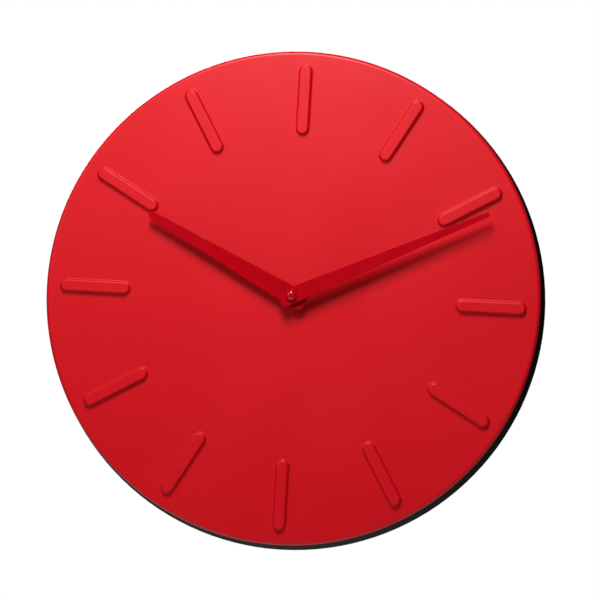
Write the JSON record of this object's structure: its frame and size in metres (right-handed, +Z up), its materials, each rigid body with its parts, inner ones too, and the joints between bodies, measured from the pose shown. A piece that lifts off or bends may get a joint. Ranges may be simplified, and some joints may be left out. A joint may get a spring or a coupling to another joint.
{
  "type": "wall clock",
  "caption": "Round open-face wall clock with raised hour bars, tapered hour and minute hands, a shallow body open at the back, a keyhole hanger and a battery quartz movement.",
  "frame": {"origin": "where the nail's shank rests in the keyhole, on the plane of the wall; the hand axis is 110 mm below it", "axes": "+Z up, -Y out of the face towards the room, +X to the right as seen from the front"},
  "size_m": [0.3038, 0.0432, 0.3038],
  "materials": {
    "red_face": "satin moulded red",
    "black_body": "fine matt black",
    "zinc_screw": "zinc plated",
    "hanger_steel": "zinc plated sheet",
    "pad_rubber": "matt",
    "red_hand_paint": "aluminium sheet under glossy red lacquer",
    "collet_brass": "turned",
    "red_cap": "glossy lacquer",
    "gear_plastic": "natural acetal",
    "shaft_brass": "turned",
    "spring_bronze": "sprung sheet",
    "knob_plastic": "light grey",
    "magnet_ferrite": "sintered ferrite",
    "movement_plastic": "fine matt black",
    "bridge_plastic": "natural",
    "stator_iron": "soft iron sheet",
    "bobbin_plastic": "natural",
    "copper_wire": "enamelled copper",
    "board_phenolic": "brown laminate",
    "chip_resin": "black resin",
    "crystal_can": "plated can",
    "battery_metal": "nickel plated",
    "battery_film": "plain printed film",
    "contact_spring": "nickel plated"
  },
  "bodies": {
    "clock_body": {"dial": "red_face", "case_body": "black_body", "dial_screws": "zinc_screw", "hanger_plate": "hanger_steel", "hanger_screws": "zinc_screw", "wall_pads": "pad_rubber", "movement_front_case": "movement_plastic", "movement_rear_case": "movement_plastic", "movement_screws": "zinc_screw", "train_bridge": "bridge_plastic", "stator": "stator_iron", "coil_core": "stator_iron", "coil_bobbin": "bobbin_plastic", "coil_winding": "copper_wire", "circuit_board": "board_phenolic", "chip_cover": "chip_resin", "quartz_crystal": "crystal_can", "battery_can": "battery_metal", "battery_sleeve": "battery_film", "positive_contact": "contact_spring", "negative_contact": "contact_spring"},
    "minute_hand_group": {"minute_hand": "red_hand_paint", "minute_hand_collet": "collet_brass", "hand_cap": "red_cap", "centre_shaft": "shaft_brass", "clutch_spring": "spring_bronze"},
    "hour_hand_group": {"hour_hand": "red_hand_paint", "hour_hand_collet": "collet_brass", "hour_wheel": "gear_plastic"},
    "minute_wheel_group": {"minute_wheel": "gear_plastic"},
    "setting_group": {"setting_stem": "gear_plastic", "setting_knob": "knob_plastic"},
    "centre_wheel_group": {"centre_wheel": "gear_plastic"},
    "third_wheel_group": {"third_wheel": "gear_plastic"},
    "seconds_wheel_group": {"seconds_wheel": "gear_plastic"},
    "intermediate_wheel_group": {"intermediate_wheel": "gear_plastic"},
    "rotor_group": {"rotor_pinion": "gear_plastic", "rotor_magnet": "magnet_ferrite"}
  },
  "joints": [
    {"name": "minute_hand_turn", "type": "hinge", "parent": "clock_body", "child": "minute_hand_group", "pos_m": [0, -0.03, -0.11], "axis": [0, 1, 0], "continuous": true},
    {"name": "hour_hand_turn", "type": "hinge", "parent": "clock_body", "child": "hour_hand_group", "pos_m": [0, -0.03, -0.11], "axis": [0, 1, 0], "continuous": true},
    {"name": "minute_wheel_turn", "type": "hinge", "parent": "clock_body", "child": "minute_wheel_group", "pos_m": [-0.00708, -0.03, -0.11496], "axis": [0, 1, 0], "continuous": true},
    {"name": "setting_knob_turn", "type": "hinge", "parent": "clock_body", "child": "setting_group", "pos_m": [-0.01577, -0.03, -0.11729], "axis": [0, 1, 0], "continuous": true},
    {"name": "seconds_wheel_turn", "type": "hinge", "parent": "clock_body", "child": "seconds_wheel_group", "pos_m": [-0.00534, -0.03, -0.10003], "axis": [0, 1, 0], "continuous": true},
    {"name": "third_wheel_turn", "type": "hinge", "parent": "clock_body", "child": "third_wheel_group", "pos_m": [-0.00767, -0.03, -0.10642], "axis": [0, 1, 0], "continuous": true},
    {"name": "centre_wheel_turn", "type": "hinge", "parent": "clock_body", "child": "centre_wheel_group", "pos_m": [0, -0.03, -0.11], "axis": [0, 1, 0], "continuous": true},
    {"name": "intermediate_wheel_turn", "type": "hinge", "parent": "clock_body", "child": "intermediate_wheel_group", "pos_m": [0.00017, -0.03, -0.09906], "axis": [0, 1, 0], "continuous": true},
    {"name": "rotor_turn", "type": "hinge", "parent": "clock_body", "child": "rotor_group", "pos_m": [0.00555, -0.03, -0.09953], "axis": [0, 1, 0], "continuous": true}
  ],
  "couplings": [
    {"joint": "minute_wheel_turn", "follows": "minute_hand_turn", "ratio": -0.33333},
    {"joint": "hour_hand_turn", "follows": "minute_hand_turn", "ratio": 0.083333},
    {"joint": "setting_knob_turn", "follows": "minute_hand_turn", "ratio": 0.85714},
    {"joint": "third_wheel_turn", "follows": "seconds_wheel_turn", "ratio": -0.13333},
    {"joint": "centre_wheel_turn", "follows": "seconds_wheel_turn", "ratio": 0.016667},
    {"joint": "intermediate_wheel_turn", "follows": "seconds_wheel_turn", "ratio": -6},
    {"joint": "rotor_turn", "follows": "seconds_wheel_turn", "ratio": 30}
  ]
}
